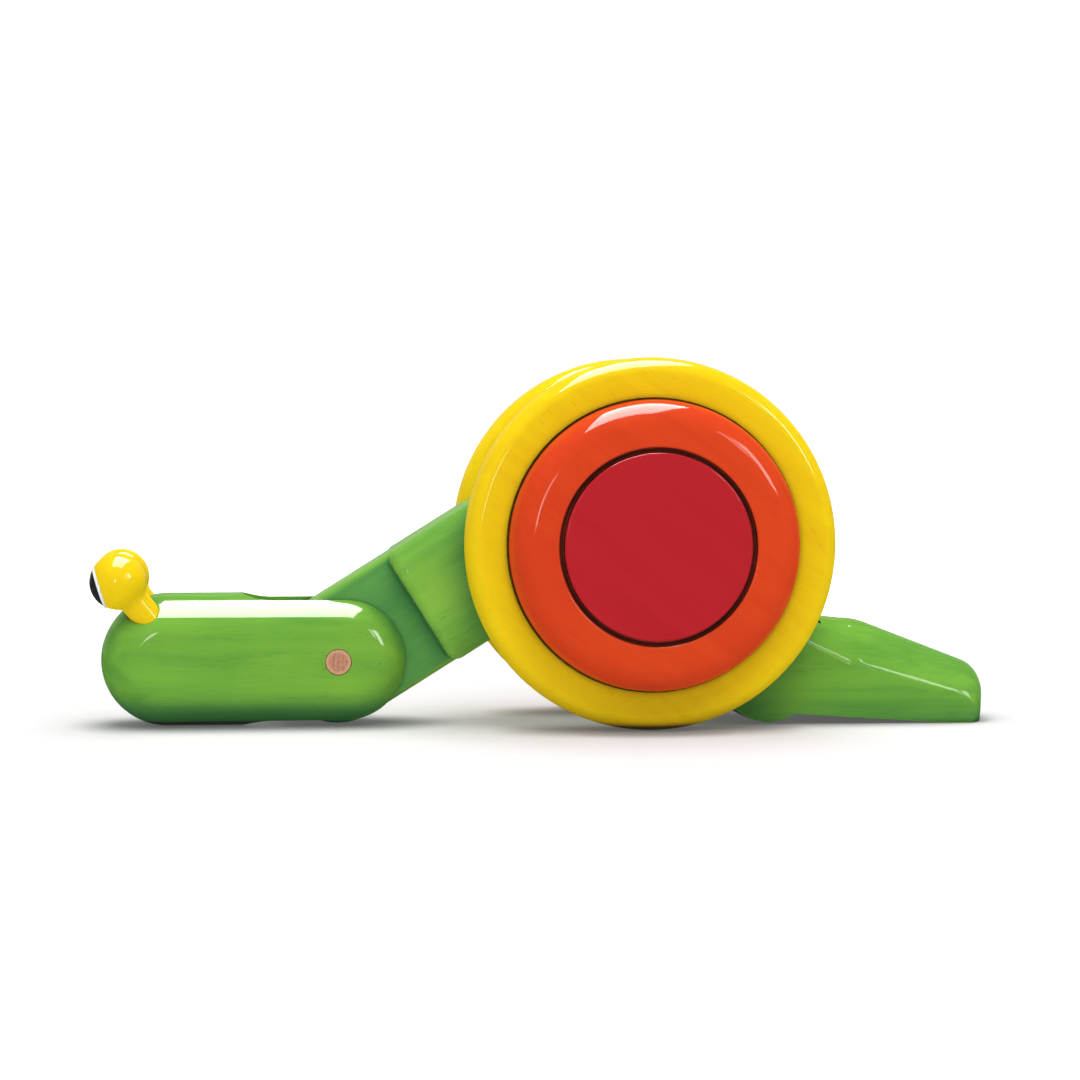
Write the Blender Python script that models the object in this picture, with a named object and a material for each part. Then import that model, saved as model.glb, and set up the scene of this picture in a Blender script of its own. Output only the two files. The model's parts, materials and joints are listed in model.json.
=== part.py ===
"""A wooden pull-along snail whose body stretches and shrinks as its shell rolls.

Units are metres and +Z is up. The snail faces -X, stands on z = 0, and its left side is -Y.
Two equal legs meet at an eccentric crank dowel between the wheels of the shell.
"""

import math

import bmesh
import bpy
from mathutils import Matrix, Vector

MM = 0.001
GAP = 0.3 * MM                      # clearance between neighbouring pieces

# The linkage, seen from the side
LEG_ANGLE = math.radians(32)        # slope of both legs at rest
LEG_LENGTH = 69 * MM                # from either floor hinge to the crank dowel
CRANK_THROW = 25.3 * MM             # from the wheel centre to the crank dowel
HINGE_HEIGHT = 18 * MM
WHEEL_RADIUS = 50 * MM

# The green body, which is one width from nose to tail
BODY_HALF_WIDTH = 15 * MM
BODY_RADIUS = 18 * MM               # half the height of the head
EDGE_DEPTH = 10.4 * MM              # how far the rounded edges reach down the sides
LEG_RADIUS = 17.3 * MM              # half the height of the legs, and their round ends
LEG_EDGE = 3 * MM
TONGUE_HALF_WIDTH = 8 * MM
HINGE_SHOULDER = 26 * MM            # from a floor hinge to the leg's full width
CRANK_SHOULDER = 30 * MM            # from the crank dowel to the same
FORK_DEPTH = (19.5 * MM, 30.5 * MM)  # from the crank dowel to the fork's end, above and below

HEAD_REACH = 64 * MM                # from the head hinge to the nose
HEAD_BACK = 2 * MM                  # from the head hinge to the centre of the round rear end
HEAD_SLOT = 17.7 * MM               # from the head hinge to where the slot's round end starts
TAIL_SLOT = 17.9 * MM               # from the tail hinge to the slot's end, below
TAIL_SLOT_TOP = 15.8 * MM           # the same at the height of the shelf
EYE_REACH = 66.8 * MM               # from the head hinge to the front of the pupils
TAIL_REACH = 61.5 * MM              # from the tail hinge to the tip
TAIL_SHELF = 28.3 * MM              # height of the flat behind the tail's knuckle
TAIL_SHELF_END = 26.5 * MM
TAIL_SLOPE = math.radians(22)
TAIL_SLOPE_END = 56.2 * MM
TAIL_SOLE_START = 50 * MM           # the tail lies on the floor from here to its tip
TAIL_RELIEF = math.radians(3.2)     # rise of the underside from there to the knuckle

# Eyes
EYE_RADIUS = 7.6 * MM
EYE_OFFSET = Vector((-58.9, 11.6, 21.9)) * MM       # from the head hinge
EYE_FOOT = Vector((-52.5, 10.2, 13.9)) * MM
EYE_STALK_RADIUS = 4 * MM
EYE_TENON = 9 * MM
EYE_FLAT = 4.7 * MM
EYE_DIP = math.radians(17)          # the eyes look a little down
WHITE_RADIUS = 5.8 * MM
WHITE_THICKNESS = 1 * MM
PUPIL_RADIUS = 5 * MM
PUPIL_DOME = 1.6 * MM

# Shell, measured outwards from the middle plane
WHEEL_INNER = 16.5 * MM
WHEEL_OUTER = 31.5 * MM
RING_OUTER = 42.5 * MM
CAP_OUTER = 42.9 * MM
RECESS_FLOOR = 34.5 * MM
RING_RADIUS = 39.3 * MM
RECESS_RADIUS = 26.2 * MM
CAP_RADIUS = 24.9 * MM
WHEEL_CROWN = 4.5 * MM              # how far the crowned rim reaches in from the tread
RING_CROWN = 7.5 * MM
RING_BACK_EDGE = 1.5 * MM
CAP_EDGE = 0.9 * MM

# Dowels and the cord's hole
HINGE_DOWEL_RADIUS = 3.5 * MM
CRANK_DOWEL_RADIUS = 6 * MM
CRANK_DOWEL_HALF = 26.5 * MM
WASHER_RADIUS = 10 * MM
CORD_HOLE_RADIUS = 2 * MM
CORD_HOLE_DEPTH = 14 * MM

# The tail's sloping underside meets its knuckle at this angle, in degrees
SOLE_DISTANCE = HINGE_HEIGHT * math.cos(TAIL_RELIEF) - TAIL_SOLE_START * math.sin(TAIL_RELIEF)
TAIL_KNUCKLE_START = math.degrees(math.acos(SOLE_DISTANCE / LEG_RADIUS) - TAIL_RELIEF) - 90

# Where the axes are
LEG_RUN = LEG_LENGTH * math.cos(LEG_ANGLE)
CRANK = Vector(((EYE_REACH - TAIL_REACH) / 2, 0, HINGE_HEIGHT + LEG_LENGTH * math.sin(LEG_ANGLE)))
HEAD_HINGE = Vector((CRANK.x - LEG_RUN, 0, HINGE_HEIGHT))
TAIL_HINGE = Vector((CRANK.x + LEG_RUN, 0, HINGE_HEIGHT))
CRANK_RISE = CRANK.z - WHEEL_RADIUS
WHEEL_CENTRE = Vector((CRANK.x + math.sqrt(CRANK_THROW ** 2 - CRANK_RISE ** 2), 0, WHEEL_RADIUS))

SIDES = {"left": -1, "right": 1}
ACROSS = Vector((0, 1, 0))
UPRIGHT = Matrix.Rotation(math.pi / 2, 3, "X").to_quaternion()
CLEAR = BODY_RADIUS + 2 * MM        # reaches past the body from a hinge
SLOT_HALF_WIDTH = TONGUE_HALF_WIDTH + GAP


def clear_scene():
    for item in list(bpy.data.objects):
        bpy.data.objects.remove(item, do_unlink=True)


def make_material(name, colour, roughness):
    material = bpy.data.materials.new(name)
    material.use_nodes = True
    shader = material.node_tree.nodes["Principled BSDF"]
    shader.inputs["Base Color"].default_value = (*colour, 1)
    shader.inputs["Roughness"].default_value = roughness
    shader.inputs["Metallic"].default_value = 0
    material.diffuse_color = (*colour, 1)
    return material


def add_axis(name, location, parent=None):
    """An empty on a joint's axis, which the pieces of one moving body hang from."""
    axis = bpy.data.objects.new(name, None)
    axis.empty_display_size = 0.01
    axis.location = location
    if parent:
        axis.parent = parent
        axis.location = location - parent.matrix_world.translation
    bpy.context.collection.objects.link(axis)
    bpy.context.view_layer.update()
    return axis


def add_piece(name, bm, axis, location, rotation=None, material=None):
    """Turn a bmesh into an object at a world location, carried by an axis."""
    bmesh.ops.recalc_face_normals(bm, faces=bm.faces)
    mesh = bpy.data.meshes.new(name)
    bm.to_mesh(mesh)
    bm.free()
    piece = bpy.data.objects.new(name, mesh)
    piece.parent = axis
    piece.location = location - axis.matrix_world.translation
    if rotation:
        piece.rotation_euler = rotation.to_euler()
    if material:
        mesh.materials.append(material)
    bpy.context.collection.objects.link(piece)
    return piece


def cut(piece, bm, location, rotation=None):
    """Take a shape out of a piece with a hidden cutter."""
    cutter = add_piece(f"cutter_{len(bpy.data.objects)}", bm, piece.parent, location, rotation)
    cutter.hide_render = True
    cutter.display_type = "WIRE"
    modifier = piece.modifiers.new("Cut", "BOOLEAN")
    modifier.operation = "DIFFERENCE"
    modifier.solver = "EXACT"
    modifier.object = cutter


def arc(centre, radius, start, end, steps, height=None):
    """Points along a circle, or an ellipse of another height, between two angles in degrees."""
    angles = [math.radians(start + (end - start) * step / steps) for step in range(steps + 1)]
    height = height or radius
    return [(centre[0] + radius * math.cos(a), centre[1] + height * math.sin(a)) for a in angles]


def box(low, high):
    bm = bmesh.new()
    middle = (Vector(low) + Vector(high)) / 2
    size = Vector(high) - Vector(low)
    placed = Matrix.Translation(middle) @ Matrix.Diagonal((*size, 1))
    bmesh.ops.create_cube(bm, size=1, matrix=placed)
    return bm


def lathe(profile, segments):
    """Spin a profile of (radius, height) about the local Z axis into a closed solid."""
    bm = bmesh.new()
    verts = [bm.verts.new((radius, 0, height)) for radius, height in profile]
    edges = [bm.edges.new(pair) for pair in zip(verts, verts[1:])]
    bmesh.ops.spin(bm, geom=verts + edges, cent=(0, 0, 0), axis=(0, 0, 1), angle=2 * math.pi,
                   steps=segments, use_merge=True, use_duplicate=False)
    bmesh.ops.remove_doubles(bm, verts=bm.verts, dist=0.01 * MM)
    return bm


def rod(radius, low, high, edge=0, segments=24):
    """A round bar along the local Z axis, with a small chamfer at both ends."""
    if edge == 0:
        return lathe([(0, low), (radius, low), (radius, high), (0, high)], segments)
    profile = [(0, low), (radius - edge, low), (radius, low + edge)]
    profile += [(radius, high - edge), (radius - edge, high), (0, high)]
    return lathe(profile, segments)


def along(direction):
    """The rotation that lays the local Z axis along a direction."""
    return direction.to_track_quat("Z", "Y")


def loft(layers):
    """A closed solid through layers of (y, outline of (x, z) points)."""
    bm = bmesh.new()
    rings = [[bm.verts.new((x, y, z)) for x, z in outline] for y, outline in layers]
    for ring, following in zip(rings, rings[1:]):
        for index, vert in enumerate(ring):
            other = (index + 1) % len(ring)
            bm.faces.new((vert, ring[other], following[other], following[index]))
    bm.faces.new(rings[0])
    bm.faces.new(rings[-1])
    return bm


def rounded_layers(outline):
    """Layers across a head or tail block: a flat strip in the middle, then elliptical edges."""
    half = []
    for degrees in (8, 24, 40, 54, 67, 79, 90):
        angle = math.radians(degrees)
        inset = EDGE_DEPTH * (math.cos(math.radians(8)) - math.cos(angle))
        half.append((BODY_HALF_WIDTH * math.sin(angle), outline(inset)))
    return [(-y, points) for y, points in reversed(half)] + half


def stadium(start, end, radius, inset):
    """The outline of a bar with round ends, drawn in by an inset."""
    return arc((start, 0), radius - inset, 90, 270, 12) + arc((end, 0), radius - inset, -90, 90, 12)


def head_outline(inset):
    return stadium(BODY_RADIUS - HEAD_REACH, HEAD_BACK, BODY_RADIUS, inset)


def tail_outline(inset):
    """Knuckle, shelf, slope and tip; the edges are rounded above and crisp on the floor."""
    points = []
    shelf = TAIL_SHELF - HINGE_HEIGHT
    shelf_start = math.degrees(math.asin(shelf / LEG_RADIUS))
    for x, z in arc((0, 0), LEG_RADIUS, TAIL_KNUCKLE_START, shelf_start - 360, 13):
        share = (1 + z / LEG_RADIUS) / 2
        points.append((x * (1 - inset * share / LEG_RADIUS), z * (1 - inset * share / LEG_RADIUS)))
    points.append((TAIL_SHELF_END, shelf - inset))
    drop = (TAIL_SLOPE_END - TAIL_SHELF_END) * math.tan(TAIL_SLOPE)
    down = inset * math.cos(TAIL_SLOPE)
    back = inset * math.sin(TAIL_SLOPE)
    points.append((TAIL_SLOPE_END - back, shelf - drop - down))
    tip = ((59.4, 13.1, 0.45, 0.70), (61.0, 10.0, 0.45, 0.50), (61.5, 6.0, 0.45, 0.20), (61.1, 0, 0.45, 0))
    for x, height, inwards, downwards in tip:
        points.append((x * MM - inset * inwards, height * MM - HINGE_HEIGHT - inset * downwards))
    points.append((TAIL_SOLE_START, -HINGE_HEIGHT))
    return points


def leg_layers():
    """Layers across a leg, whose edges are only lightly rounded."""
    half = []
    for degrees in (0, 45, 90):
        angle = math.radians(degrees)
        y = BODY_HALF_WIDTH - LEG_EDGE * (1 - math.sin(angle))
        inset = LEG_EDGE * (1 - math.cos(angle))
        half.append((y, stadium(0, LEG_LENGTH, LEG_RADIUS, inset)))
    return [(-y, points) for y, points in reversed(half)] + half


def cut_cheeks(leg, start, end, hinge, turn):
    """Leave only the middle tongue of a leg between two distances from its floor hinge."""
    for side in SIDES.values():
        near = side * TONGUE_HALF_WIDTH
        far = side * (BODY_HALF_WIDTH + 2 * MM)
        cut(leg, box((start, min(near, far), -CLEAR), (end, max(near, far), CLEAR)), hinge, turn)


def cut_slot(block, outline, location, turn=None):
    """Open a slot for a tongue, with an outline seen from the side."""
    cut(block, loft([(-SLOT_HALF_WIDTH, outline), (SLOT_HALF_WIDTH, outline)]), location, turn)


def cut_bore(block, radius, location, reach=40 * MM):
    """Bore a hole for a dowel right across."""
    cut(block, rod(radius + GAP, -reach, reach), location, along(ACROSS))


def make_head(axis, green):
    head = add_piece("head_block", loft(rounded_layers(head_outline)), axis, HEAD_HINGE, None, green)
    slot = arc((-HEAD_SLOT, 0), SLOT_HALF_WIDTH, 90, 270, 10)
    slot += [(HEAD_BACK + CLEAR, -SLOT_HALF_WIDTH), (HEAD_BACK + CLEAR, SLOT_HALF_WIDTH)]
    cut(head, loft([(-CLEAR, slot), (CLEAR, slot)]), HEAD_HINGE, UPRIGHT)
    cut_bore(head, HINGE_DOWEL_RADIUS, HEAD_HINGE)
    for side in SIDES.values():
        foot, centre = eye_points(side)
        socket = rod(EYE_STALK_RADIUS + GAP, -EYE_TENON - GAP, 15 * MM)
        cut(head, socket, foot, along(centre - foot))
    nose = HEAD_HINGE + Vector((-HEAD_REACH, 0, 0))
    cord_hole = rod(CORD_HOLE_RADIUS, -5 * MM, CORD_HOLE_DEPTH, segments=16)
    cut(head, cord_hole, nose, along(Vector((1, 0, 0))))


def eye_points(side):
    """World positions of an eye's foot and of the centre of its ball."""
    mirror = Vector((1, side, 1))
    return HEAD_HINGE + EYE_FOOT * mirror, HEAD_HINGE + EYE_OFFSET * mirror


def make_eye(axis, name, side, yellow, white, black):
    foot, centre = eye_points(side)
    turn = along(centre - foot)
    gaze = Vector((-math.cos(EYE_DIP), 0, -math.sin(EYE_DIP)))

    height = (centre - foot).length
    neck_angle = math.degrees(math.asin(EYE_STALK_RADIUS / EYE_RADIUS))
    ball = arc((0, height), EYE_RADIUS, neck_angle - 90, 90, 10)
    profile = [(0, -EYE_TENON), (EYE_STALK_RADIUS, -EYE_TENON)] + ball[:-1] + [(0, ball[-1][1])]
    bm = lathe(profile, 24)
    normal = turn.inverted() @ gaze
    point = Vector((0, 0, height)) + normal * EYE_FLAT
    geometry = bm.verts[:] + bm.edges[:] + bm.faces[:]
    bmesh.ops.bisect_plane(bm, geom=geometry, dist=1e-6, plane_co=point, plane_no=normal, clear_outer=True)
    bmesh.ops.holes_fill(bm, edges=bm.edges, sides=0)
    add_piece(f"eye_peg_{name}", bm, axis, foot, turn, yellow)

    white_back = EYE_FLAT + GAP
    disc = rod(WHITE_RADIUS, white_back, white_back + WHITE_THICKNESS, 0.2 * MM)
    add_piece(f"eye_white_{name}", disc, axis, centre, along(gaze), white)

    pupil_back = white_back + WHITE_THICKNESS + GAP
    dome_radius = (PUPIL_RADIUS ** 2 + PUPIL_DOME ** 2) / (2 * PUPIL_DOME)
    spread = math.degrees(math.asin(PUPIL_RADIUS / dome_radius))
    dome = arc((0, pupil_back + PUPIL_DOME - dome_radius), dome_radius, 90 - spread, 90, 5)
    pupil = lathe([(0, pupil_back)] + dome[:-1] + [(0, dome[-1][1])], 24)
    add_piece(f"eye_pupil_{name}", pupil, axis, centre, along(gaze), black)


def make_neck(axis, green):
    """The front leg: a tongue in the head's slot, and a fork around the crank dowel."""
    turn = Matrix.Rotation(-LEG_ANGLE, 3, "Y").to_quaternion()
    neck = add_piece("neck", loft(leg_layers()), axis, HEAD_HINGE, turn, green)
    cut_cheeks(neck, -CLEAR, HINGE_SHOULDER, HEAD_HINGE, turn)
    above, below = [LEG_LENGTH - depth for depth in FORK_DEPTH]
    end = LEG_LENGTH + CLEAR
    cut_slot(neck, [(above, CLEAR), (end, CLEAR), (end, -CLEAR), (below, -CLEAR)], HEAD_HINGE, turn)
    cut_bore(neck, HINGE_DOWEL_RADIUS, HEAD_HINGE)
    cut_bore(neck, CRANK_DOWEL_RADIUS, CRANK)


def make_rear_leg(axis, green):
    """The rear leg: a tongue at each end, one in the neck's fork and one in the tail's slot."""
    turn = Matrix.Rotation(LEG_ANGLE - math.pi, 3, "Y").to_quaternion()
    leg = add_piece("rear_leg", loft(leg_layers()), axis, TAIL_HINGE, turn, green)
    cut_cheeks(leg, -CLEAR, HINGE_SHOULDER, TAIL_HINGE, turn)
    cut_cheeks(leg, LEG_LENGTH - CRANK_SHOULDER, LEG_LENGTH + CLEAR, TAIL_HINGE, turn)
    cut_bore(leg, HINGE_DOWEL_RADIUS, TAIL_HINGE)
    cut_bore(leg, CRANK_DOWEL_RADIUS, CRANK)


def make_tail(axis, green):
    tail = add_piece("tail_block", loft(rounded_layers(tail_outline)), axis, TAIL_HINGE, None, green)
    shelf = TAIL_SHELF - HINGE_HEIGHT
    slot = [(-CLEAR, -CLEAR), (TAIL_SLOT, -CLEAR), (TAIL_SLOT, 1 * MM), (TAIL_SLOT_TOP, shelf)]
    cut_slot(tail, slot + [(TAIL_SLOT_TOP, CLEAR), (-CLEAR, CLEAR)], TAIL_HINGE)
    cut_bore(tail, HINGE_DOWEL_RADIUS, TAIL_HINGE)


def make_hinge_dowel(name, axis, location, wood):
    dowel = rod(HINGE_DOWEL_RADIUS, -BODY_HALF_WIDTH, BODY_HALF_WIDTH, 0.3 * MM)
    add_piece(name, dowel, axis, location, along(ACROSS), wood)


def make_crank(axis, wood):
    dowel = rod(CRANK_DOWEL_RADIUS, -CRANK_DOWEL_HALF, CRANK_DOWEL_HALF, 0.5 * MM)
    add_piece("crank_dowel", dowel, axis, CRANK, along(ACROSS), wood)


def make_washer(name, axis, side, wood):
    low = BODY_HALF_WIDTH + GAP
    high = WHEEL_INNER - GAP
    bore = CRANK_DOWEL_RADIUS + GAP
    profile = [(bore, low), (WASHER_RADIUS, low), (WASHER_RADIUS, high), (bore, high), (bore, low)]
    add_piece(f"spacer_washer_{name}", lathe(profile, 24), axis, CRANK, along(ACROSS * side), wood)


def make_wheel(name, axis, side, yellow, orange, red):
    """One side of the shell: the wheel, the ring glued on it, and the cap in the ring."""
    turn = along(ACROSS * side)

    middle = (WHEEL_INNER + WHEEL_OUTER) / 2
    profile = [(0, WHEEL_INNER)]
    profile += arc((WHEEL_RADIUS - WHEEL_CROWN, middle), WHEEL_CROWN, -90, 90, 8, WHEEL_OUTER - middle)
    profile += [(0, WHEEL_OUTER)]
    wheel = add_piece(f"wheel_{name}", lathe(profile, 60), axis, WHEEL_CENTRE, turn, yellow)
    depth = CRANK_DOWEL_HALF + GAP
    socket = rod(CRANK_DOWEL_RADIUS + GAP, WHEEL_INNER - 2 * MM, depth)
    cut(wheel, socket, CRANK, turn)

    back = WHEEL_OUTER + GAP
    middle = back + RING_BACK_EDGE
    profile = [(0, back)] + arc((RING_RADIUS - RING_BACK_EDGE, middle), RING_BACK_EDGE, -90, 0, 2)[:-1]
    profile += arc((RING_RADIUS - RING_CROWN, middle), RING_CROWN, 0, 90, 6, RING_OUTER - middle)
    profile += [(RECESS_RADIUS + 0.4 * MM, RING_OUTER), (RECESS_RADIUS, RING_OUTER - 0.4 * MM)]
    profile += [(RECESS_RADIUS, RECESS_FLOOR), (0, RECESS_FLOOR)]
    add_piece(f"wheel_ring_{name}", lathe(profile, 60), axis, WHEEL_CENTRE, turn, orange)

    back = RECESS_FLOOR + GAP
    profile = [(0, back), (CAP_RADIUS, back)]
    profile += arc((CAP_RADIUS - CAP_EDGE, CAP_OUTER - CAP_EDGE), CAP_EDGE, 0, 90, 2)
    profile += [(0, CAP_OUTER)]
    add_piece(f"wheel_cap_{name}", lathe(profile, 48), axis, WHEEL_CENTRE, turn, red)


def build():
    clear_scene()
    green = make_material("green_lacquered_wood", (0.16, 0.45, 0.035), 0.3)
    yellow = make_material("yellow_lacquered_wood", (0.9, 0.58, 0.01), 0.28)
    orange = make_material("orange_lacquered_wood", (0.75, 0.08, 0.018), 0.25)
    red = make_material("red_lacquered_wood", (0.54, 0.022, 0.028), 0.28)
    natural = make_material("natural_wood", (0.6, 0.36, 0.2), 0.5)
    white = make_material("white_plastic", (0.85, 0.85, 0.83), 0.3)
    black = make_material("black_plastic", (0.015, 0.014, 0.016), 0.12)

    root = add_axis("neck_axis", CRANK)
    head_axis = add_axis("head_axis", HEAD_HINGE, root)
    shell_axis = add_axis("shell_axis", CRANK, root)
    rear_leg_axis = add_axis("rear_leg_axis", CRANK, root)
    tail_axis = add_axis("tail_axis", TAIL_HINGE, rear_leg_axis)

    make_neck(root, green)
    make_head(head_axis, green)
    make_hinge_dowel("head_hinge_dowel", head_axis, HEAD_HINGE, natural)
    make_rear_leg(rear_leg_axis, green)
    make_tail(tail_axis, green)
    make_hinge_dowel("tail_hinge_dowel", tail_axis, TAIL_HINGE, natural)
    make_crank(shell_axis, natural)
    for name, side in SIDES.items():
        make_eye(head_axis, name, side, yellow, white, black)
        make_washer(name, shell_axis, side, natural)
        make_wheel(name, shell_axis, side, yellow, orange, red)


build()
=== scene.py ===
"""The looks of the pull-along snail: finer shapes, lacquered wood, studio floor, lights and camera.

Metres, +Z up. The snail faces -X and its left side (-Y) is towards the camera.
Each piece is built in its own frame, with the grain of its wood along local X.
"""

import json
import math

import bmesh
import bpy
from mathutils import Matrix, Vector


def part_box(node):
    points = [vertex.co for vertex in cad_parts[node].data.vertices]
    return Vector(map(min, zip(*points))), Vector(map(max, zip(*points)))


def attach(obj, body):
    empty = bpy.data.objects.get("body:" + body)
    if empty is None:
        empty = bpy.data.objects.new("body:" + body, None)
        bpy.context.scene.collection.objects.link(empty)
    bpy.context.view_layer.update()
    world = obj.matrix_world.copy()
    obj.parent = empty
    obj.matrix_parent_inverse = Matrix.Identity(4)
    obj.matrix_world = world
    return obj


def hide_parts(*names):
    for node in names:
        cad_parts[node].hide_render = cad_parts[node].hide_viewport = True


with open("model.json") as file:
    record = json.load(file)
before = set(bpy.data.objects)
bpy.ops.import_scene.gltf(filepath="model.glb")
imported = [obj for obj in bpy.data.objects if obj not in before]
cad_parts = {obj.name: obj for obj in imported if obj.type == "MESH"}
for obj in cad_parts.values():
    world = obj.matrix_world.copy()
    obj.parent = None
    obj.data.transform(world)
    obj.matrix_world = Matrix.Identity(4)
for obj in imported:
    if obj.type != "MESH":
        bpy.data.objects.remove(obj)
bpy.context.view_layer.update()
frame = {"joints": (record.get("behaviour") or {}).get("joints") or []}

MM = 0.001
SIDES = {"left": -1, "right": 1}
ACROSS = Vector((0, 1, 0))

# ---------------------------------------------------------------- places, all from the frame

joints = {joint["name"]: joint for joint in frame["joints"]}
HEAD_HINGE = Vector(joints["head_hinge"]["pos_m"])
CRANK = Vector(joints["shell_spin"]["pos_m"])
TAIL_HINGE = Vector(joints["tail_hinge"]["pos_m"])
LEG_LENGTH = (CRANK - HEAD_HINGE).length
LEG_ANGLE = math.atan2(CRANK.z - HEAD_HINGE.z, CRANK.x - HEAD_HINGE.x)
TAIL_LIMIT = math.radians(joints["tail_hinge"]["range_deg"][1])

head_low, head_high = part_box("head_block")
wheel_low, wheel_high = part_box("wheel_right")
ring_low, ring_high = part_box("wheel_ring_right")
cap_low, cap_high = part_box("wheel_cap_right")
dowel_low, dowel_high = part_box("head_hinge_dowel")
crank_low, crank_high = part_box("crank_dowel")
washer_low, washer_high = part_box("spacer_washer_right")

BODY_HALF_WIDTH = head_high[1]
BODY_RADIUS = head_high[2] / 2
HEAD_REACH = HEAD_HINGE.x - head_low[0]
WHEEL_RADIUS = wheel_high[2] / 2
WHEEL_CENTRE = Vector(((wheel_low[0] + wheel_high[0]) / 2, 0, WHEEL_RADIUS))
WHEEL_INNER = wheel_low[1]
WHEEL_OUTER = wheel_high[1]
CAD_RING_RADIUS = (ring_high[2] - ring_low[2]) / 2
RING_OUTER = ring_high[1]
CAP_RADIUS = (cap_high[2] - cap_low[2]) / 2
CAP_INNER = cap_low[1]
CAP_OUTER = cap_high[1]
DOWEL_RADIUS = (dowel_high[2] - dowel_low[2]) / 2
CRANK_RADIUS = (crank_high[2] - crank_low[2]) / 2
CRANK_HALF = crank_high[1]

# ---------------------------------------------------------------- sizes of the detail

EDGE_DEPTH = 10.4 * MM              # how far the rounded edges of the head and tail reach down
EDGE_START = math.radians(8)        # leaves a flat strip along the middle of them
LEG_RADIUS = 17.3 * MM
LEG_EDGE = 5 * MM                   # measured across the leg, and then down its side
LEG_EDGE_DEPTH = 8 * MM
TONGUE_HALF_WIDTH = 8 * MM
TONGUE_EDGE = 2 * MM
SHOULDER_EDGE = 3 * MM
HINGE_SHOULDER = 26 * MM            # the tongues' lengths, from the hinge and from the crank
CRANK_SHOULDER = 30 * MM
FORK_SLOT = 17.9 * MM               # the radius of the slot's round end, about the crank
FORK_ARC = (120, 158)               # the degrees over which that end is round
FORK_DEPTH = 30.5 * MM              # how far from the crank the slot starts underneath
HEAD_BACK = 2 * MM
HEAD_SLOT = 17.7 * MM               # from the hinge to the ends of the slots for the tongues
TAIL_SLOT = 17.5 * MM
TAIL_FOLD = math.radians(90) - LEG_ANGLE - TAIL_LIMIT   # the lean of the leg's edge, folded right up
GAP = 0.3 * MM
FINE_GAP = 0.1 * MM                 # round a dowel, where the CAD keeps a wider one
SEAT = 0.02 * MM                    # between two faces that are glued together
CORD_HOLE_RADIUS = 2 * MM
CORD_HOLE_DEPTH = 14 * MM
BODY_BEVEL = 0.45 * MM
LEG_BEVEL = 0.8 * MM
SLOT_HALF_WIDTH = TONGUE_HALF_WIDTH + GAP
CLEAR = BODY_RADIUS + 2 * MM        # reaches past the body from a hinge
THROUGH = 40 * MM                   # longer than any piece is wide

TAIL_REACH = 61.5 * MM
TAIL_SHELF = 28.3 * MM
TAIL_SHELF_FALL = 0.7 * MM          # the shelf isn't quite level
TAIL_SHELF_END = 26.5 * MM
TAIL_SLOPE = math.radians(22)
TAIL_SLOPE_END = 56.2 * MM
TAIL_TIP_RADIUS = 8.4 * MM
TAIL_SOLE_START = 50 * MM
TAIL_RELIEF = math.radians(3.2)
TAIL_CORNER = 4 * MM                # eased to each side of where the shelf meets the slope
TAIL_TIP_DRAW = 0.42                # how much the tip narrows where the edge is rounded
TAIL_TIP_FOOT = 4 * MM              # the height where the tip starts to lean in
TAIL_CREASE_CORNER = 1.2            # the crease runs lower under the corner
TAIL_CREASE_TIP = 0.88              # and higher at the tip
TAIL_CREASE_ANGLE = 76              # where the rounded edge stops short of the side, in degrees

EYE_RADIUS = 7.6 * MM
EYE_OFFSET = Vector((-58.9, 11.6, 21.9)) * MM
EYE_FOOT = Vector((-52.5, 10.2, 13.9)) * MM
EYE_STALK_RADIUS = 4 * MM
EYE_TENON = 9 * MM
EYE_SOCKET_TOP = 15 * MM
EYE_FILLET = 2.2 * MM
EYE_FLAT = 4.7 * MM
EYE_DIP = math.radians(17)
EYE_WHITE_RADIUS = 5.8 * MM
EYE_WHITE_THICKNESS = 0.8 * MM
EYE_WHITE_EDGE = 0.35 * MM
EYE_WHITE_GAP = 0.05 * MM
PUPIL_RADIUS = 5.2 * MM
PUPIL_RISE = 2.1 * MM

WHEEL_CROWN = 4.5 * MM
RING_RADIUS = CAD_RING_RADIUS - 0.5 * MM    # sanded a little smaller
RING_CROWN = 7.5 * MM
RING_BACK_EDGE = 1.5 * MM
RING_LIP = 0.6 * MM
RING_SEAT_INNER = RING_RADIUS - 1.2 * MM    # the groove turned under the ring's edge
RING_SEAT_OUTER = RING_RADIUS + 0.4 * MM
RING_SEAT_DEPTH = 1.5 * MM
RING_SEAT_EDGE = Vector((0.15, 0.2)) * MM
CROWN_POWER = 0.86                  # 1 would be an ellipse
CAP_EDGE = 0.6 * MM
GROOVE_DEPTH = 2.2 * MM             # round the cap, which fits closely below it
RECESS_RADIUS = 26.2 * MM
WHEEL_GRAIN = math.radians(-35)
FLAT_STEP = 1 * MM                  # a ring of faces that keeps a flat face flat beside a crown


# ---------------------------------------------------------------- shapes

def arc(centre, radius, start, end, steps):
    """Points along a circle between two angles in degrees."""
    angles = [math.radians(start + (end - start) * step / steps) for step in range(steps + 1)]
    return [(centre[0] + radius * math.cos(a), centre[1] + radius * math.sin(a)) for a in angles]


def crown(centre, width, height, start, steps):
    """Points round a turned edge up to its flat face, a little squarer than an ellipse."""
    points = []
    for step in range(steps + 1):
        angle = math.radians(start + (90 - start) * step / steps)
        out = max(math.cos(angle), 0) ** CROWN_POWER
        up = math.copysign(abs(math.sin(angle)) ** CROWN_POWER, angle)
        points.append((centre[0] + width * out, centre[1] + height * up))
    return points


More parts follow.
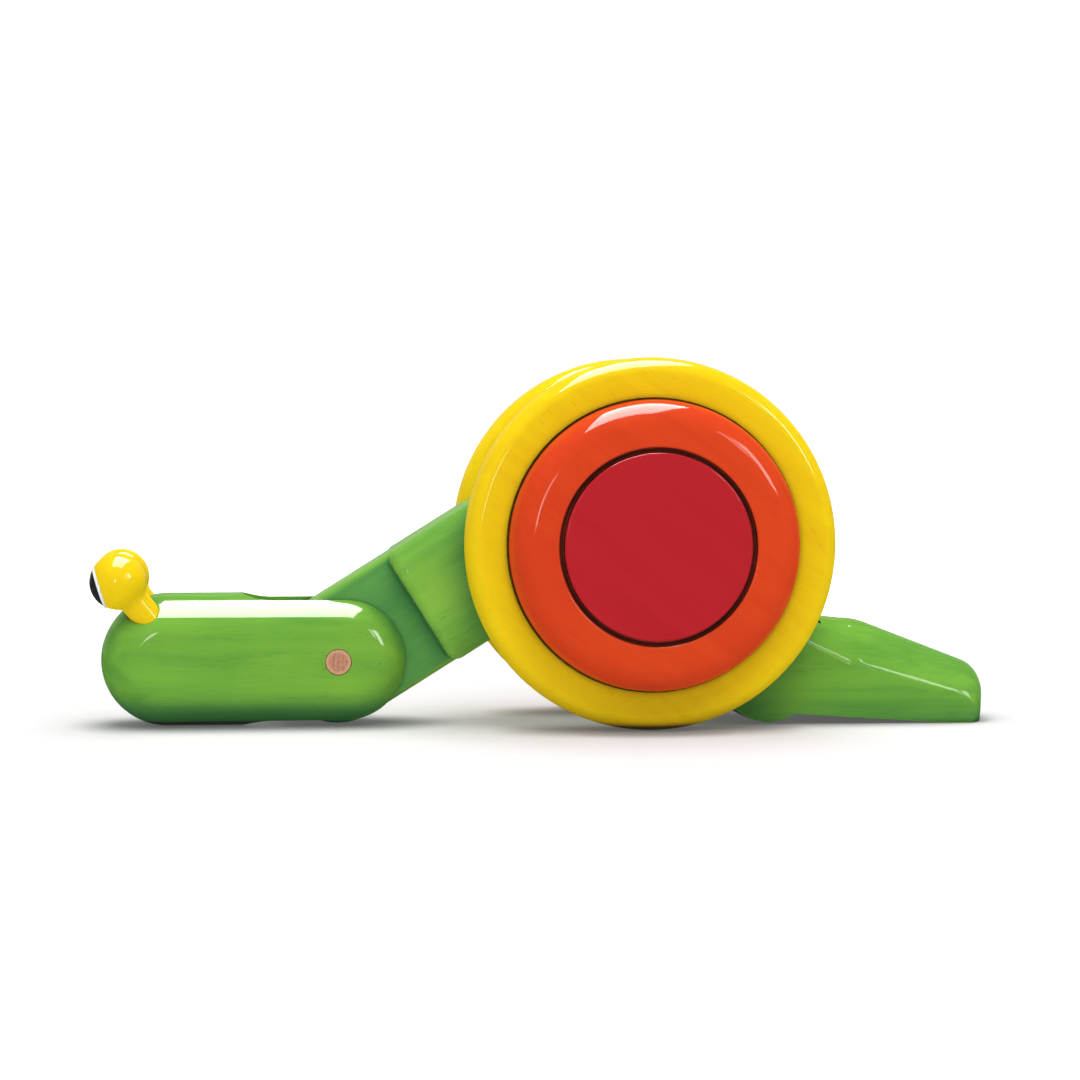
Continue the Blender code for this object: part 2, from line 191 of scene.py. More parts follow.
def lathe(profile, segments):
    """Spin a profile of (radius, height) about the local Z axis into a closed solid."""
    bm = bmesh.new()
    verts = [bm.verts.new((radius, 0, height)) for radius, height in profile]
    edges = [bm.edges.new(pair) for pair in zip(verts, verts[1:])]
    bmesh.ops.spin(bm, geom=verts + edges, cent=(0, 0, 0), axis=(0, 0, 1), angle=2 * math.pi,
                   steps=segments, use_merge=True, use_duplicate=False)
    bmesh.ops.remove_doubles(bm, verts=bm.verts, dist=0.001 * MM)
    return bm


def rod(radius, low, high, edge=0, segments=64):
    """A round bar along the local Z axis, with softened ends if an edge is given."""
    if edge == 0:
        return lathe([(0, low), (radius, low), (radius, high), (0, high)], segments)
    profile = [(0, low)] + arc((radius - edge, low + edge), edge, -90, 0, 4)
    profile += arc((radius - edge, high - edge), edge, 0, 90, 4) + [(0, high)]
    return lathe(profile, segments)


def box(low, high):
    bm = bmesh.new()
    size = Vector(high) - Vector(low)
    place = Matrix.Translation((Vector(low) + Vector(high)) / 2) @ Matrix.Diagonal((*size, 1))
    bmesh.ops.create_cube(bm, size=1, matrix=place)
    return bm


def loft(layers):
    """A closed solid through layers of (y, outline of (x, z) points)."""
    bm = bmesh.new()
    rings = [[bm.verts.new((x, y, z)) for x, z in outline] for y, outline in layers]
    for ring, following in zip(rings, rings[1:]):
        for index, vert in enumerate(ring):
            other = (index + 1) % len(ring)
            bm.faces.new((vert, ring[other], following[other], following[index]))
    bm.faces.new(rings[0])
    bm.faces.new(rings[-1])
    return bm


def mirrored(half):
    """Layers on both sides of the middle plane from those on one side."""
    return [(-y, points) for y, points in reversed(half)] + half


def rounded_layers(outline, last=90):
    """Layers across a head or tail block: a flat strip in the middle, then elliptical edges.

    They run smoothly into the sides, or meet them in a soft crease if they stop short of 90 degrees.
    """
    steps = 20
    last = math.radians(last)
    start = math.cos(EDGE_START)
    depth = EDGE_DEPTH * start / (start - math.cos(last))
    half = []
    for step in range(steps + 1):
        angle = EDGE_START + (last - EDGE_START) * step / steps
        inset = depth * (start - math.cos(angle))
        half.append((BODY_HALF_WIDTH * math.sin(angle) / math.sin(last), outline(inset)))
    return mirrored(half)


def stadium(start, end, radius, inset):
    """The outline of a bar with round ends, drawn in by an inset."""
    steps = 40
    front = arc((start, 0), radius - inset, 90, 270, steps)
    return front + arc((end, 0), radius - inset, -90, 90, steps)


def head_outline(inset):
    return stadium(BODY_RADIUS - HEAD_REACH, HEAD_BACK, BODY_RADIUS, inset)


def tail_outline(inset):
    """Knuckle, shelf, slope and tip; the edges are rounded above and crisp on the floor."""
    points = []
    height = TAIL_HINGE.z
    sole_distance = height * math.cos(TAIL_RELIEF) - TAIL_SOLE_START * math.sin(TAIL_RELIEF)
    knuckle_start = math.degrees(math.acos(sole_distance / LEG_RADIUS) - TAIL_RELIEF) - 90
    shelf = TAIL_SHELF - height
    shelf_start = math.degrees(math.asin((shelf + TAIL_SHELF_FALL) / LEG_RADIUS))
    for x, z in arc((0, 0), LEG_RADIUS, knuckle_start, shelf_start - 360, 40):
        share = inset * (1 + z / LEG_RADIUS) / 2 / LEG_RADIUS
        points.append((x * (1 - share), z * (1 - share)))
    points += soft_corner(TAIL_CREASE_CORNER * inset, shelf - TAIL_SHELF_FALL / 2)
    slope_end = TAIL_SHELF - (TAIL_SLOPE_END - TAIL_SHELF_END) * math.tan(TAIL_SLOPE)
    shrink = 1 - TAIL_CREASE_TIP * inset * math.cos(TAIL_SLOPE) / slope_end
    draw = TAIL_TIP_DRAW * inset
    centre = (TAIL_REACH - TAIL_TIP_RADIUS, slope_end - TAIL_TIP_RADIUS * math.cos(TAIL_SLOPE))
    for x, z in arc(centre, TAIL_TIP_RADIUS, 90 - math.degrees(TAIL_SLOPE), 0, 14):
        points.append((x - draw, z * shrink - height))
    points.append((TAIL_REACH - 0.1 * MM - draw, TAIL_TIP_FOOT * shrink - height))
    points.append((TAIL_REACH - 0.4 * MM - draw, -height))
    points.append((TAIL_SOLE_START, -height))
    return points


def soft_corner(inset, shelf):
    """The eased corner between the tail's flat shelf and its slope."""
    points = []
    steps = 6
    for step in range(steps + 1):
        share = step / steps
        angle = TAIL_SLOPE * share
        stretch = 1 if share < 0.5 else math.cos(TAIL_SLOPE)
        x = TAIL_SHELF_END + TAIL_CORNER * (2 * share - 1) * stretch
        drop = TAIL_CORNER * math.sin(TAIL_SLOPE) * share ** 2
        points.append((x - inset * math.sin(angle), shelf - drop - inset * math.cos(angle)))
    return points


def leg_layers(half_width, radius, edge, depth):
    """Layers across a leg or its tongue, whose edges are rounded over."""
    steps = 12
    half = []
    for step in range(steps + 1):
        angle = math.radians(90 * step / steps)
        y = half_width - edge * (1 - math.sin(angle))
        inset = depth * (1 - math.cos(angle))
        half.append((y, stadium(0, LEG_LENGTH, radius, inset)))
    return mirrored(half)


# ---------------------------------------------------------------- pieces

def along(direction):
    """The rotation that lays the local Z axis along a direction."""
    return direction.to_track_quat("Z", "Y")


def placed(location, rotation=None):
    """The matrix that puts a piece built in its own frame where it goes."""
    turn = rotation.to_matrix().to_4x4() if rotation else Matrix.Identity(4)
    return Matrix.Translation(location) @ turn


def add_piece(name, bm, place, material, body):
    """A piece that stands for the CAD node of the same name and moves with its body.

    The turn goes into the mesh, so the piece's own axes stay those of the world.
    """
    bm.transform(place.to_3x3().to_4x4())
    piece = add_object(f"{name}_look", bm, Matrix.Translation(place.translation))
    piece.data.materials.append(material)
    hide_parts(name)
    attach(piece, body)
    return piece


def add_object(name, bm, place):
    bmesh.ops.recalc_face_normals(bm, faces=bm.faces)
    mesh = bpy.data.meshes.new(name)
    bm.to_mesh(mesh)
    bm.free()
    item = bpy.data.objects.new(name, mesh)
    item.matrix_world = place
    bpy.context.scene.collection.objects.link(item)
    return item


def carve(piece, cutters, operation="DIFFERENCE"):
    """Take (shape, place) cutters out of a piece, or join them to it, for good."""
    tools = []
    for bm, place in cutters:
        tool = add_object("cutter", bm, place)
        modifier = piece.modifiers.new("Cut", "BOOLEAN")
        modifier.operation = operation
        modifier.solver = "EXACT"
        modifier.object = tool
        tools.append(tool)
    bpy.context.view_layer.update()
    cut = piece.evaluated_get(bpy.context.evaluated_depsgraph_get())
    piece.data = bpy.data.meshes.new_from_object(cut)
    piece.modifiers.clear()
    for tool in tools:
        bpy.data.objects.remove(tool)


def round_over(piece, width):
    """Round the sharp edges of a piece for good."""
    bevel = piece.modifiers.new("Bevel", "BEVEL")
    bevel.width = width
    bevel.segments = 6
    bevel.limit_method = "ANGLE"
    bevel.angle_limit = math.radians(60)
    bpy.context.view_layer.update()
    rounded = piece.evaluated_get(bpy.context.evaluated_depsgraph_get())
    piece.data = bpy.data.meshes.new_from_object(rounded)
    piece.modifiers.clear()


def finish_edges(piece, width=0):
    """Round the sharp edges over, if a width is given, and shade the rest smooth."""
    sharp = math.radians(38)
    for polygon in piece.data.polygons:
        polygon.use_smooth = True
    if width:
        bevel = piece.modifiers.new("Bevel", "BEVEL")
        bevel.width = width
        bevel.segments = 3
        bevel.limit_method = "ANGLE"
        bevel.angle_limit = sharp
    else:
        piece.data.set_sharp_from_angle(angle=sharp)
    normals = piece.modifiers.new("Normals", "WEIGHTED_NORMAL")
    normals.keep_sharp = True


# ---------------------------------------------------------------- materials

class Graph:
    """A short way to write one material's nodes, in coordinates turned so that local X is the grain."""

    def __init__(self, name, grain=None):
        self.material = bpy.data.materials.new(name)
        self.material.use_nodes = True
        self.nodes = self.material.node_tree.nodes
        self.links = self.material.node_tree.links
        self.shader = self.nodes["Principled BSDF"]
        self.place = self.nodes.new("ShaderNodeTexCoord").outputs["Object"]
        if grain:
            turned = self.node("Mapping")
            turned.inputs["Rotation"].default_value = grain
            self.link(self.place, turned.inputs["Vector"])
            self.place = turned.outputs["Vector"]

    def link(self, source, target):
        self.links.new(source, target)

    def node(self, kind, **settings):
        item = self.nodes.new(f"ShaderNode{kind}")
        for key, value in settings.items():
            setattr(item, key, value)
        return item

    def stretched(self, scale, shift):
        """Object coordinates multiplied along each axis, then shifted."""
        item = self.node("Mapping")
        item.inputs["Scale"].default_value = scale
        item.inputs["Location"].default_value = shift
        self.link(self.place, item.inputs["Vector"])
        return item.outputs["Vector"]

    def noise(self, scale, shift=(0, 0, 0), detail=3, roughness=0.5, distortion=0):
        item = self.node("TexNoise")
        item.inputs["Scale"].default_value = 1
        item.inputs["Detail"].default_value = detail
        item.inputs["Roughness"].default_value = roughness
        item.inputs["Distortion"].default_value = distortion
        self.link(self.stretched(scale, shift), item.inputs["Vector"])
        return item.outputs["Fac"]

    def ramp(self, value, low, high, start=0, end=1):
        """Map a value from one range to another, clamped."""
        item = self.node("MapRange", interpolation_type="SMOOTHSTEP")
        item.inputs["From Min"].default_value = low
        item.inputs["From Max"].default_value = high
        item.inputs["To Min"].default_value = start
        item.inputs["To Max"].default_value = end
        self.link(value, item.inputs["Value"])
        return item.outputs["Result"]

    def math(self, operation, first, second=0):
        item = self.node("Math", operation=operation)
        for socket, value in zip(item.inputs, (first, second)):
            if isinstance(value, (int, float)):
                socket.default_value = value
            else:
                self.link(value, socket)
        return item.outputs["Value"]

    def mix(self, factor, first, second):
        """Blend two colours."""
        item = self.node("Mix", data_type="RGBA")
        sockets = (item.inputs[0], item.inputs[6], item.inputs[7])
        for socket, value in zip(sockets, (factor, first, second)):
            if isinstance(value, tuple):
                socket.default_value = (*value, 1)
            elif isinstance(value, (int, float)):
                socket.default_value = value
            else:
                self.link(value, socket)
        return item.outputs[2]

    def edges(self, radius):
        """1 along outer edges, where a rounded-over normal leaves the true one."""
        bevel = self.node("Bevel", samples=4)
        bevel.inputs["Radius"].default_value = radius
        geometry = self.node("NewGeometry")
        dot = self.node("VectorMath", operation="DOT_PRODUCT")
        self.link(bevel.outputs["Normal"], dot.inputs[0])
        self.link(geometry.outputs["Normal"], dot.inputs[1])
        return self.ramp(self.math("SUBTRACT", 1, dot.outputs["Value"]), 0.02, 0.2)

    def openness(self, distance):
        """1 in the open, less in corners and crevices; it drives the painted shade there and the
        floor's painted contact shadows.
        """
        item = self.node("AmbientOcclusion", samples=6)
        item.inputs["Distance"].default_value = distance
        return item.outputs["AO"]

    def bump(self, height, strength, distance):
        item = self.node("Bump")
        item.inputs["Strength"].default_value = strength
        item.inputs["Distance"].default_value = distance
        self.link(height, item.inputs["Height"])
        return item.outputs["Normal"]

    def finish(self, colour, roughness, normal=None, coat=0, coat_roughness=0.05, coat_normal=None,
               specular=0.12):
        """Join everything to the shader and give back the material."""
        self.link(colour, self.shader.inputs["Base Color"])
        if isinstance(roughness, (int, float)):
            self.shader.inputs["Roughness"].default_value = roughness
        else:
            self.link(roughness, self.shader.inputs["Roughness"])
        self.shader.inputs["Specular IOR Level"].default_value = specular
        self.shader.inputs["Coat Weight"].default_value = coat
        self.shader.inputs["Coat Roughness"].default_value = coat_roughness
        if normal:
            self.link(normal, self.shader.inputs["Normal"])
        if coat_normal:
            self.link(coat_normal, self.shader.inputs["Coat Normal"])
        return self.material


def lacquered_wood(name, colours, number, grain=0, figured=1.0, flecks=1.0,
                   reach=13 * MM, gloss=0.5, shaded_half_width=0):
    """Close-grained hardwood under translucent gloss lacquer, its grain turned by an angle about Y.

    Corners are painted darker, towards the shade colour, within the reach: painted shade. Within the
    shaded half width of a leg, which is its tongue, the colour is painted deeper still, as the shade in
    the recess under its shoulder.
    """
    colour, deep, pale, shade = colours
    shift = shift_of(number)
    g = Graph(name, (0, grain, 0))
    streaks = g.noise((28, 420, 420), shift, detail=4, roughness=0.6, distortion=0.3)
    bands = g.noise((9, 95, 95), shift, detail=2, roughness=0.4, distortion=0.6)
    cloud = g.noise((32, 45, 45), shift, detail=3)
    pores = g.noise((260, 3600, 3600), shift, detail=1, roughness=0.4)
    patches = g.noise((60, 220, 220), shift, detail=2)

    pore_mask = g.math("MULTIPLY", g.ramp(pores, 0.62, 0.72), g.ramp(patches, 0.42, 0.6))
    figure = g.math("ADD", g.math("MULTIPLY", streaks, 0.45), g.math("MULTIPLY", bands, 0.55))
    figure = g.ramp(figure, 0.36, 0.64)

    tint = g.mix(g.math("MULTIPLY", figure, 0.55 * figured), colour, deep)
    tint = g.mix(g.ramp(cloud, 0.4, 0.75, end=0.3 * figured), tint, pale)
    tint = g.mix(g.math("MULTIPLY", pore_mask, 0.55 * flecks), tint, deep)
    # painted shade: the colour darkens towards the shade colour in corners and under things, within the
    # reach
    tint = g.mix(g.ramp(g.openness(reach), 0.92, 0.3, end=0.7), tint, shade)
    # painted shade: near black in tight crevices, joins and contact lines, within 2 mm
    tint = g.mix(g.ramp(g.openness(2 * MM), 0.85, 0.5, end=0.8), tint, CREVICE_SHADE)
    # painted shade: the tongue, recessed under the leg's shoulder, is painted darker and bluer for the
    # shadow it lies in
    if shaded_half_width:
        from_axis = g.node("SeparateXYZ")
        g.link(g.place, from_axis.inputs["Vector"])
        width = g.math("ABSOLUTE", from_axis.outputs["Y"])
        height = g.math("ABSOLUTE", from_axis.outputs["Z"])
        recess_shade_mask = g.math("MULTIPLY", g.ramp(width, shaded_half_width + 3 * MM, shaded_half_width + 0.5 * MM),
                        g.ramp(height, LEG_RADIUS - 0.3 * MM, LEG_RADIUS - 1.8 * MM))
        tint = g.mix(g.math("MULTIPLY", recess_shade_mask, 0.5), tint, RECESS_SHADE)
    # edges painted paler: thin lacquer and wear there, and partly a painted edge highlight
    edge_wear_and_sheen = g.math("MULTIPLY", g.edges(0.7 * MM), g.ramp(streaks, 0.35, 0.6, 0.25, 0.8))
    tint = g.mix(edge_wear_and_sheen, tint, pale)

    relief = g.math("SUBTRACT", g.math("MULTIPLY", streaks, 0.4), g.math("MULTIPLY", pore_mask, 0.6))
    normal = g.bump(relief, 0.35, 0.06 * MM)
    orange_peel = g.noise((330, 330, 330), shift, detail=1)
    lacquer = g.math("ADD", g.math("MULTIPLY", orange_peel, 0.5), g.math("MULTIPLY", streaks, 0.3))
    coat_normal = g.bump(lacquer, 0.22, 0.05 * MM)
    roughness = g.ramp(streaks, 0.3, 0.7, 0.42, 0.58)
    return g.finish(tint, roughness, normal, coat=gloss, coat_roughness=0.07,
                    coat_normal=coat_normal, specular=0)


def bare_wood(name, colour, deep, pale):
    """Sanded hardwood dowel along Y: long grain on its sides, rings and pores on its ends."""
    g = Graph(name)
    sides = g.noise((1400, 30, 1400), detail=3, roughness=0.6)
    pores = g.noise((3200, 160, 3200), detail=1)
    rings = g.node("TexWave", wave_type="BANDS", bands_direction="X")
    rings.inputs["Scale"].default_value = 260
    rings.inputs["Distortion"].default_value = 3
    rings.inputs["Detail"].default_value = 2
    rings.inputs["Detail Scale"].default_value = 1.5
    g.link(g.place, rings.inputs["Vector"])
    tint = g.mix(g.ramp(sides, 0.35, 0.65, end=0.6), colour, deep)
    tint = g.mix(g.math("MULTIPLY", rings.outputs["Fac"], 0.35), tint, pale)
    tint = g.mix(g.ramp(pores, 0.6, 0.7, end=0.6), tint, deep)
    across = g.node("VectorMath", operation="MULTIPLY")
    across.inputs[1].default_value = (1, 0, 1)
    g.link(g.place, across.inputs[0])
    radius = g.node("VectorMath", operation="LENGTH")
    g.link(across.outputs["Vector"], radius.inputs[0])
    tint = g.mix(g.ramp(radius.outputs["Value"], 2.2 * MM, 2.9 * MM, end=0.6), tint, pale)
    return g.finish(tint, 0.55, g.bump(sides, 0.3, 0.05 * MM), coat=0.1, coat_roughness=0.3)


def gloss_paint(name, colour, deep, roughness):
    """The thick even paint of the eyes."""
    g = Graph(name)
    mottle = g.noise((900, 900, 900), detail=2)
    tint = g.mix(g.ramp(mottle, 0.35, 0.7), colour, deep)
    peel = g.noise((500, 500, 500), detail=1)
    return g.finish(tint, roughness, g.bump(peel, 0.1, 0.02 * MM), coat=0.6, coat_roughness=0.03)


# the body colour, the deep and pale ends of its figure, and the painted shade colour it takes in
# corners
GREEN = ((0.168, 0.42, 0.052), (0.075, 0.25, 0.040), (0.28, 0.54, 0.054), (0.020, 0.150, 0.065))
# the same green paint, painted lighter on the neck for the light that falls on it
LIT_NECK_GREEN = ((0.205, 0.475, 0.065), (0.095, 0.285, 0.050), (0.34, 0.61, 0.068), (0.024, 0.165, 0.075))
YELLOW = ((0.86, 0.61, 0.009), (0.72, 0.40, 0.009), (0.92, 0.72, 0.006), (0.26, 0.10, 0.010))
ORANGE = ((0.69, 0.059, 0.014), (0.53, 0.035, 0.012), (0.75, 0.090, 0.018), (0.16, 0.010, 0.012))
RED = ((0.475, 0.018, 0.025), (0.36, 0.012, 0.018), (0.52, 0.025, 0.034), (0.14, 0.006, 0.012))
# the painted shade colour of a leg's recessed tongue
RECESS_SHADE = (0.02, 0.20, 0.085)
# the painted shade of tight crevices and joins
CREVICE_SHADE = (0.014, 0.016, 0.014)

# what sets the small turned pieces off from the big blocks: a shorter reach of painted shade, and less
# gloss
TURNED = {"reach": 3 * MM, "gloss": 0.32}


# ---------------------------------------------------------------- the toy

def shift_of(number):
    """Where in the endless grain one piece is cut from."""
    return (0.37 * number, 1.91 * number, 0.83 * number)


def hinge_cutters(hinges):
    """Cutters for the bores right across a piece at (point, radius) hinges."""
    bores = []
    for point, radius in hinges:
        bores.append((rod(radius + FINE_GAP, -THROUGH, THROUGH), placed(point, along(ACROSS))))
    return bores


def slab(start, end, place):
    """A cutter right across a leg between two distances along it."""
    return (box((start, -CLEAR, -CLEAR), (end, CLEAR, CLEAR)), place)


def slot_cutter(outline, place):
    """A cutter for a tongue's slot, with an outline seen from the side."""
    return (loft([(-SLOT_HALF_WIDTH, outline), (SLOT_HALF_WIDTH, outline)]), place)


def tongue(place):
    """The bar that is left bare at the ends of a leg, a hair lower than the leg."""
    radius = LEG_RADIUS - 0.05 * MM
    return (loft(leg_layers(TONGUE_HALF_WIDTH, radius, TONGUE_EDGE, TONGUE_EDGE)), place)


def leg_bar():
    """The full-width bar that both legs are cut from."""
    return loft(leg_layers(BODY_HALF_WIDTH, LEG_RADIUS, LEG_EDGE, LEG_EDGE_DEPTH))


def eye_points(side):
    """Where an eye's stalk leaves the head, and the middle of its ball."""
    mirror = Vector((1, side, 1))
    return HEAD_HINGE + EYE_FOOT * mirror, HEAD_HINGE + EYE_OFFSET * mirror


def make_head():
    place = placed(HEAD_HINGE)
    green = lacquered_wood("green_lacquer_head", GREEN, 1)
    head = add_piece("head_block", loft(rounded_layers(head_outline)), place, green, "head")
    slot = arc((-HEAD_SLOT, 0), SLOT_HALF_WIDTH, 90, 270, 32)
    slot += [(HEAD_BACK + CLEAR, -SLOT_HALF_WIDTH), (HEAD_BACK + CLEAR, SLOT_HALF_WIDTH)]
    upright = Matrix.Rotation(math.pi / 2, 3, "X").to_quaternion()
    cutters = [(loft([(-CLEAR, slot), (CLEAR, slot)]), placed(HEAD_HINGE, upright))]
    cutters += hinge_cutters([(HEAD_HINGE, DOWEL_RADIUS)])
    for side in SIDES.values():
        foot, centre = eye_points(side)
        socket = rod(EYE_STALK_RADIUS + FINE_GAP, -EYE_TENON - GAP, EYE_SOCKET_TOP)
        cutters.append((socket, placed(foot, along(centre - foot))))
    nose = HEAD_HINGE + Vector((-HEAD_REACH, 0, 0))
    cord_hole = rod(CORD_HOLE_RADIUS, -5 * MM, CORD_HOLE_DEPTH, segments=32)
    cutters.append((cord_hole, placed(nose, along(Vector((1, 0, 0))))))
    carve(head, cutters)
    finish_edges(head, BODY_BEVEL)


def make_eye(name, side, yellow, white, black):
    """A peg whose ball is cut flat in front for the white and its domed pupil."""
    foot, centre = eye_points(side)
    turn = along(centre - foot)
    gaze = Vector((-math.cos(EYE_DIP), 0, -math.sin(EYE_DIP)))
    height = (centre - foot).length

    # a small fillet where the stalk runs into the ball
    reach = EYE_RADIUS + EYE_FILLET
    meet = math.degrees(math.acos((EYE_STALK_RADIUS + EYE_FILLET) / reach))
    drop = reach * math.sin(math.radians(meet))
    profile = [(0, -EYE_TENON), (EYE_STALK_RADIUS, -EYE_TENON)]
    profile += arc((EYE_STALK_RADIUS + EYE_FILLET, height - drop), EYE_FILLET, 180, 180 - meet, 8)
    ball = arc((0, height), EYE_RADIUS, -meet, 90, 40)
    profile += ball[1:-1] + [(0, ball[-1][1])]
    bm = lathe(profile, 72)
    normal = turn.inverted() @ gaze
    point = Vector((0, 0, height)) + normal * EYE_FLAT
    geometry = bm.verts[:] + bm.edges[:] + bm.faces[:]
    bmesh.ops.bisect_plane(bm, geom=geometry, dist=1e-7, plane_co=point, plane_no=normal,
                           clear_outer=True)
    bmesh.ops.holes_fill(bm, edges=bm.edges, sides=0)
    peg = add_piece(f"eye_peg_{name}", bm, placed(foot, turn), yellow, "head")
    finish_edges(peg)

    gaze_turn = along(gaze)
    back = EYE_FLAT + EYE_WHITE_GAP
    front = back + EYE_WHITE_THICKNESS
    corner = (EYE_WHITE_RADIUS - EYE_WHITE_EDGE, front - EYE_WHITE_EDGE)
    profile = [(0, back), (EYE_WHITE_RADIUS, back)] + arc(corner, EYE_WHITE_EDGE, 0, 90, 5)
    disc = lathe(profile + [(0, front)], 96)
    finish_edges(add_piece(f"eye_white_{name}", disc, placed(centre, gaze_turn), white, "head"))

    back = front + SEAT
    dome_radius = (PUPIL_RADIUS ** 2 + PUPIL_RISE ** 2) / (2 * PUPIL_RISE)
    spread = math.degrees(math.asin(PUPIL_RADIUS / dome_radius))
    dome = arc((0, back + PUPIL_RISE - dome_radius), dome_radius, 90 - spread, 90, 16)
    pupil = lathe([(0, back)] + dome[:-1] + [(0, dome[-1][1])], 96)
    finish_edges(add_piece(f"eye_pupil_{name}", pupil, placed(centre, gaze_turn), black, "head"))


def make_neck():
    turn = Matrix.Rotation(-LEG_ANGLE, 3, "Y").to_quaternion()
    place = placed(HEAD_HINGE, turn)
    green = lacquered_wood("green_lacquer_neck", LIT_NECK_GREEN, 2, LEG_ANGLE, shaded_half_width=TONGUE_HALF_WIDTH)
    neck = add_piece("neck", leg_bar(), place, green, "neck")
    carve(neck, [slab(-CLEAR, HINGE_SHOULDER, place)])
    round_over(neck, SHOULDER_EDGE)
    carve(neck, [tongue(place)], "UNION")
    end = LEG_LENGTH + CLEAR
    slot = arc((LEG_LENGTH, 0), FORK_SLOT, *FORK_ARC, 10)
    slot += [(LEG_LENGTH - FORK_DEPTH, -CLEAR), (end, -CLEAR), (end, CLEAR), (slot[0][0], CLEAR)]
    cutters = [slot_cutter(slot, place)]
    cutters += hinge_cutters([(HEAD_HINGE, DOWEL_RADIUS), (CRANK, CRANK_RADIUS)])
    carve(neck, cutters)
    finish_edges(neck, LEG_BEVEL)


def make_rear_leg():
    turn = Matrix.Rotation(LEG_ANGLE - math.pi, 3, "Y").to_quaternion()
    place = placed(TAIL_HINGE, turn)
    green = lacquered_wood("green_lacquer_rear_leg", GREEN, 3, -LEG_ANGLE, shaded_half_width=TONGUE_HALF_WIDTH)
    leg = add_piece("rear_leg", leg_bar(), place, green, "rear_leg")
    shoulder = LEG_LENGTH - CRANK_SHOULDER
    carve(leg, [slab(-CLEAR, HINGE_SHOULDER, place), slab(shoulder, LEG_LENGTH + CLEAR, place)])
    round_over(leg, SHOULDER_EDGE)
    carve(leg, [tongue(place)], "UNION")
    carve(leg, hinge_cutters([(TAIL_HINGE, DOWEL_RADIUS), (CRANK, CRANK_RADIUS)]))
    finish_edges(leg, LEG_BEVEL)


def make_tail():
    place = placed(TAIL_HINGE)
    green = lacquered_wood("green_lacquer_tail", GREEN, 4, gloss=0.35)
    block = loft(rounded_layers(tail_outline, TAIL_CREASE_ANGLE))
    tail = add_piece("tail_block", block, place, green, "tail")
    top = (TAIL_SLOT - CLEAR * math.sin(TAIL_FOLD)) / math.cos(TAIL_FOLD)
    slot = [(-CLEAR, -CLEAR), (TAIL_SLOT, -CLEAR)]
    slot += arc((0, 0), TAIL_SLOT, 0, math.degrees(TAIL_FOLD), 6)
    slot += [(top, CLEAR), (-CLEAR, CLEAR)]
    cutters = [slot_cutter(slot, place)]
    cutters += hinge_cutters([(TAIL_HINGE, DOWEL_RADIUS)])
    carve(tail, cutters)
    finish_edges(tail, BODY_BEVEL)


def make_dowels():
    """The three dowels, and the washers that keep the legs off the wheels."""
    wood = bare_wood("bare_dowel_wood", (0.52, 0.23, 0.15), (0.30, 0.11, 0.065), (0.66, 0.40, 0.22))
    for name, body, centre in (("head", "head", HEAD_HINGE), ("tail", "tail", TAIL_HINGE)):
        dowel = rod(DOWEL_RADIUS, -BODY_HALF_WIDTH, BODY_HALF_WIDTH, 0.35 * MM)
        finish_edges(add_piece(f"{name}_hinge_dowel", dowel, placed(centre, along(ACROSS)), wood, body))
    crank = rod(CRANK_RADIUS, -CRANK_HALF, CRANK_HALF, 0.5 * MM)
    finish_edges(add_piece("crank_dowel", crank, placed(CRANK, along(ACROSS)), wood, "shell"))
    inner = CRANK_RADIUS + FINE_GAP
    outer = (washer_high[0] - washer_low[0]) / 2
    low = washer_low[1]
    high = washer_high[1]
    for name, side in SIDES.items():
        profile = [(inner, low), (outer, low), (outer, high), (inner, high), (inner, low)]
        place = placed(CRANK, along(ACROSS * side))
        washer = add_piece(f"spacer_washer_{name}", lathe(profile, 96), place, wood, "shell")
        finish_edges(washer, 0.15 * MM)


